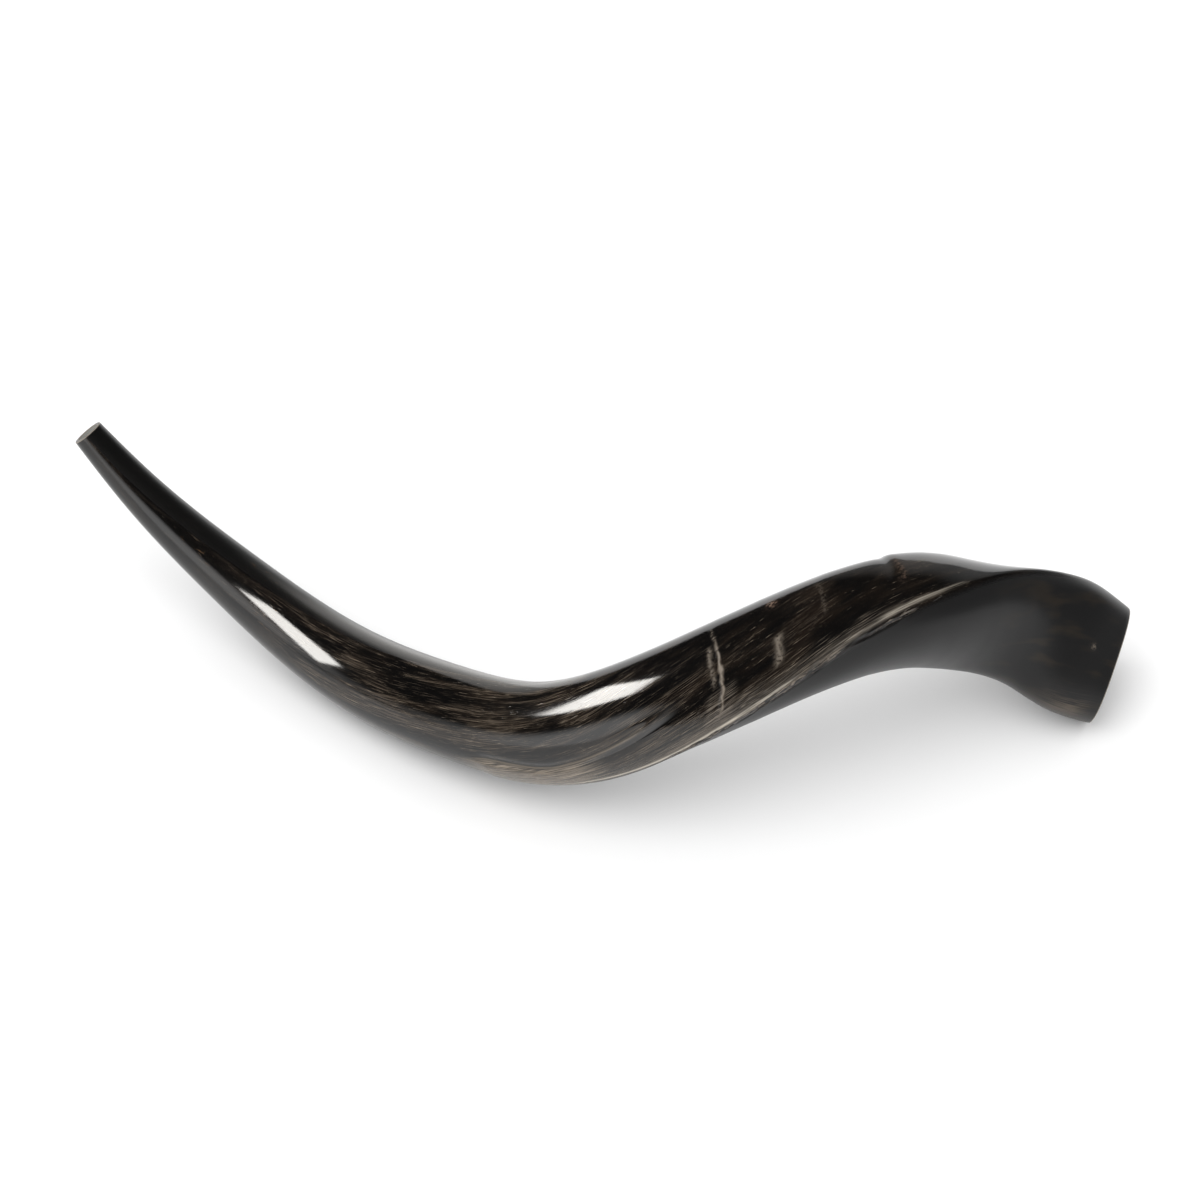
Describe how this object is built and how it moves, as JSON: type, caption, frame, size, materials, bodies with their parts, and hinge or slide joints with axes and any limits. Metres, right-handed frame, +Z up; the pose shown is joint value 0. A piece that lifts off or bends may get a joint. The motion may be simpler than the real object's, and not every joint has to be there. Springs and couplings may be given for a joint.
{
  "type": "spiral horn",
  "caption": "Polished dark spiral horn with a twisting keel, cut at both ends and hollow from a small mouth cup to a wide bell.",
  "frame": {"origin": "centre of the bounding box at the floor the horn lies on", "axes": "+X along the horn from the mouth end to the bell, +Z up from the floor, -Y toward the side that shows the keel"},
  "size_m": [0.6352, 0.2006, 0.1372],
  "materials": {
    "horn": "polished natural horn, near black with fine brown fibres and a tan keel"
  },
  "bodies": {
    "root": {"horn": "horn"}
  },
  "joints": []
}
